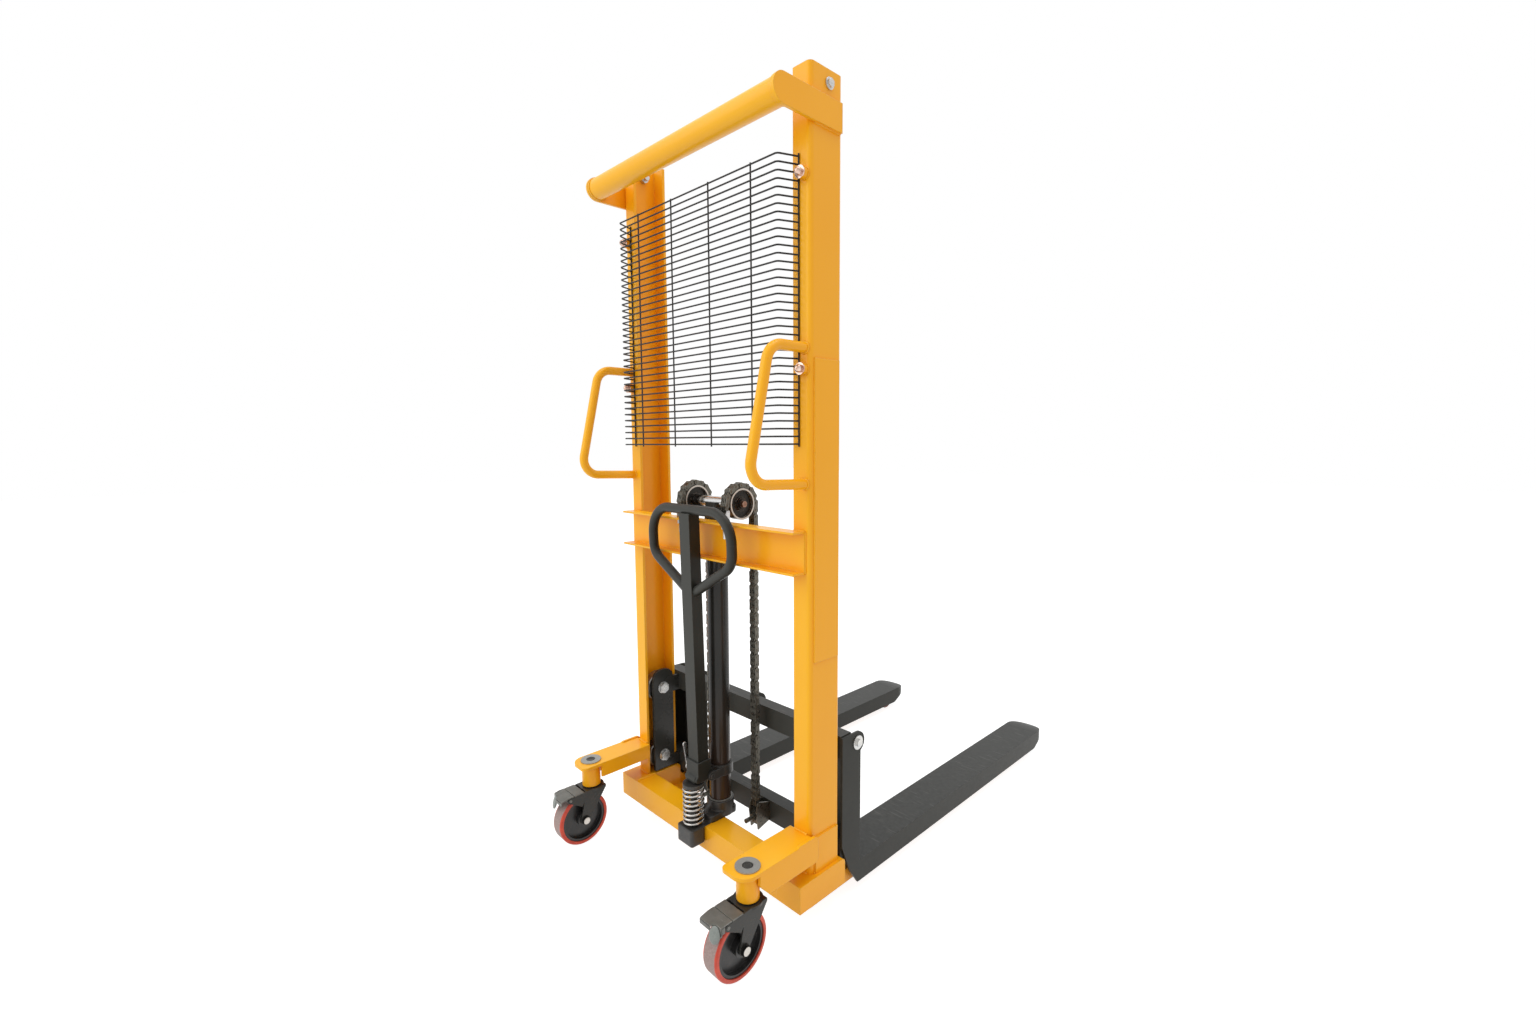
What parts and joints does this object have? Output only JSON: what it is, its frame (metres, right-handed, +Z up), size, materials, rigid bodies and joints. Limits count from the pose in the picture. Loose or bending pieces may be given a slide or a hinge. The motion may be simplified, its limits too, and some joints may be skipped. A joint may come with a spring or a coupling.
{
  "type": "hand pallet stacker",
  "caption": "Manual pallet stacker: channel mast on straddle legs, hand pumped cylinder with chain lift, roller carriage with channel forks, swivel casters with brakes and a wire mesh guard.",
  "frame": {"origin": "on the floor, under the middle of the bounding box", "axes": "+Z up, +Y forward along the forks, +X to the operator's right"},
  "size_m": [0.772, 1.63, 1.98],
  "materials": {
    "yellow_paint": "gloss",
    "dark_paint": "satin",
    "cast_body": "satin",
    "zinc_plated": "satin",
    "ground_steel": "satin",
    "oiled_chain": "oily",
    "black_wire": "satin",
    "chrome_nuts": "polished",
    "chromed_ram": "polished",
    "roller_tread": "satin",
    "wheel_tread": "satin",
    "wheel_hub": "matt"
  },
  "bodies": {
    "frame": {"mast_left": "yellow_paint", "mast_right": "yellow_paint", "mid_beam": "yellow_paint", "grab_bar": "yellow_paint", "side_handles": "yellow_paint", "mesh_guard": "black_wire", "guard_standoffs": "yellow_paint", "guard_nuts": "chrome_nuts", "stop_bolts": "zinc_plated", "base_beam": "yellow_paint", "base_leg_left": "yellow_paint", "base_leg_right": "yellow_paint", "caster_arms": "yellow_paint", "kingpin_bolts": "zinc_plated", "load_roller_axles": "zinc_plated", "pump_body": "cast_body", "pump_screws": "zinc_plated", "cylinder_tube": "dark_paint", "cylinder_gland": "dark_paint", "lever_pin": "dark_paint", "chain_studs": "zinc_plated", "chain_rear": "oiled_chain"},
    "carriage": {"upper_bar": "dark_paint", "lower_bar": "dark_paint", "roller_plate_left": "dark_paint", "roller_plate_right": "dark_paint", "mast_roller_axles": "zinc_plated", "hanger_shaft": "ground_steel", "hanger_bolts": "zinc_plated", "fork_left": "dark_paint", "fork_right": "dark_paint", "chain_anchors": "oiled_chain", "chain_front": "oiled_chain"},
    "ram": {"ram": "chromed_ram", "crosshead": "dark_paint", "pulley_axle": "zinc_plated", "chain_wraps": "oiled_chain"},
    "pulley_left": {"pulley_left": "ground_steel"},
    "load_roller_left": {"load_roller_left": "roller_tread"},
    "caster_left": {"caster_fork_left": "dark_paint", "caster_axle_left": "zinc_plated"},
    "wheel_left": {"caster_tyre_left": "wheel_tread", "caster_hub_left": "wheel_hub"},
    "pedal_left": {"brake_pedal_left": "cast_body"},
    "roller_upper_left": {"mast_roller_upper_left": "ground_steel"},
    "roller_lower_left": {"mast_roller_lower_left": "ground_steel"},
    "pulley_right": {"pulley_right": "ground_steel"},
    "load_roller_right": {"load_roller_right": "roller_tread"},
    "caster_right": {"caster_fork_right": "dark_paint", "caster_axle_right": "zinc_plated"},
    "wheel_right": {"caster_tyre_right": "wheel_tread", "caster_hub_right": "wheel_hub"},
    "pedal_right": {"brake_pedal_right": "cast_body"},
    "roller_upper_right": {"mast_roller_upper_right": "ground_steel"},
    "roller_lower_right": {"mast_roller_lower_right": "ground_steel"},
    "lever": {"lever_tube": "dark_paint", "lever_socket": "dark_paint"},
    "release": {"release_lever": "zinc_plated"},
    "plunger": {"pump_plunger": "zinc_plated", "pump_spring": "zinc_plated"}
  },
  "joints": [
    {"name": "fork_lift", "type": "slide", "parent": "frame", "child": "carriage", "axis": [0, 0, 1], "range_m": [0, 1.49], "deforming": ["chain_front"]},
    {"name": "ram_lift", "type": "slide", "parent": "frame", "child": "ram", "axis": [0, 0, 1], "range_m": [0, 0.745], "deforming": ["chain_rear"]},
    {"name": "pulley_spin_left", "type": "hinge", "parent": "ram", "child": "pulley_left", "pos_m": [-0.094, -0.482, 1.011], "axis": [1, 0, 0], "range_deg": [0, 876]},
    {"name": "roller_upper_left_spin", "type": "hinge", "parent": "carriage", "child": "roller_upper_left", "pos_m": [-0.335, -0.458, 0.404], "axis": [1, 0, 0], "range_deg": [-1875, 0]},
    {"name": "roller_lower_left_spin", "type": "hinge", "parent": "carriage", "child": "roller_lower_left", "pos_m": [-0.335, -0.458, 0.184], "axis": [1, 0, 0], "range_deg": [0, 1875]},
    {"name": "load_roller_spin_left", "type": "hinge", "parent": "frame", "child": "load_roller_left", "pos_m": [-0.3135, 0.703, 0.037], "axis": [1, 0, 0], "continuous": true},
    {"name": "caster_swivel_left", "type": "hinge", "parent": "frame", "child": "caster_left", "pos_m": [-0.347, -0.691, 0.157], "axis": [0, 0, 1], "continuous": true},
    {"name": "wheel_spin_left", "type": "hinge", "parent": "caster_left", "child": "wheel_left", "pos_m": [-0.347, -0.729, 0.075], "axis": [1, 0, 0], "continuous": true},
    {"name": "pedal_left", "type": "hinge", "parent": "caster_left", "child": "pedal_left", "pos_m": [-0.347, -0.774, 0.15], "axis": [1, 0, 0], "range_deg": [0, 11.5]},
    {"name": "pulley_spin_right", "type": "hinge", "parent": "ram", "child": "pulley_right", "pos_m": [0.094, -0.482, 1.011], "axis": [1, 0, 0], "range_deg": [0, 876]},
    {"name": "roller_upper_right_spin", "type": "hinge", "parent": "carriage", "child": "roller_upper_right", "pos_m": [0.335, -0.458, 0.404], "axis": [1, 0, 0], "range_deg": [-1875, 0]},
    {"name": "roller_lower_right_spin", "type": "hinge", "parent": "carriage", "child": "roller_lower_right", "pos_m": [0.335, -0.458, 0.184], "axis": [1, 0, 0], "range_deg": [0, 1875]},
    {"name": "load_roller_spin_right", "type": "hinge", "parent": "frame", "child": "load_roller_right", "pos_m": [0.3135, 0.703, 0.037], "axis": [1, 0, 0], "continuous": true},
    {"name": "caster_swivel_right", "type": "hinge", "parent": "frame", "child": "caster_right", "pos_m": [0.347, -0.691, 0.157], "axis": [0, 0, 1], "continuous": true},
    {"name": "wheel_spin_right", "type": "hinge", "parent": "caster_right", "child": "wheel_right", "pos_m": [0.347, -0.729, 0.075], "axis": [1, 0, 0], "continuous": true},
    {"name": "pedal_right", "type": "hinge", "parent": "caster_right", "child": "pedal_right", "pos_m": [0.347, -0.774, 0.15], "axis": [1, 0, 0], "range_deg": [0, 11.5]},
    {"name": "pump_lever", "type": "hinge", "parent": "frame", "child": "lever", "pos_m": [0, -0.536, 0.267], "axis": [1, 0, 0], "range_deg": [0, 55], "stiffness_Nm_per_rad": 23.5, "springref_deg": -15.47},
    {"name": "release", "type": "hinge", "parent": "lever", "child": "release", "pos_m": [-0.028, -0.57056, 0.2881], "axis": [1, 0, 0], "range_deg": [0, 15]},
    {"name": "plunger_stroke", "type": "slide", "parent": "frame", "child": "plunger", "axis": [0, 0, -1], "range_m": [0, 0.036], "deforming": ["pump_spring"]}
  ],
  "couplings": [
    {"joint": "ram_lift", "follows": "fork_lift", "ratio": 0.5},
    {"joint": "pulley_spin_left", "follows": "fork_lift", "rad_per_m": 10.242},
    {"joint": "roller_upper_left_spin", "follows": "fork_lift", "rad_per_m": -21.93},
    {"joint": "roller_lower_left_spin", "follows": "fork_lift", "rad_per_m": 21.93},
    {"joint": "pulley_spin_right", "follows": "fork_lift", "rad_per_m": 10.242},
    {"joint": "roller_upper_right_spin", "follows": "fork_lift", "rad_per_m": -21.93},
    {"joint": "roller_lower_right_spin", "follows": "fork_lift", "rad_per_m": 21.93},
    {"joint": "plunger_stroke", "follows": "pump_lever", "m_per_rad": 0.0375}
  ]
}
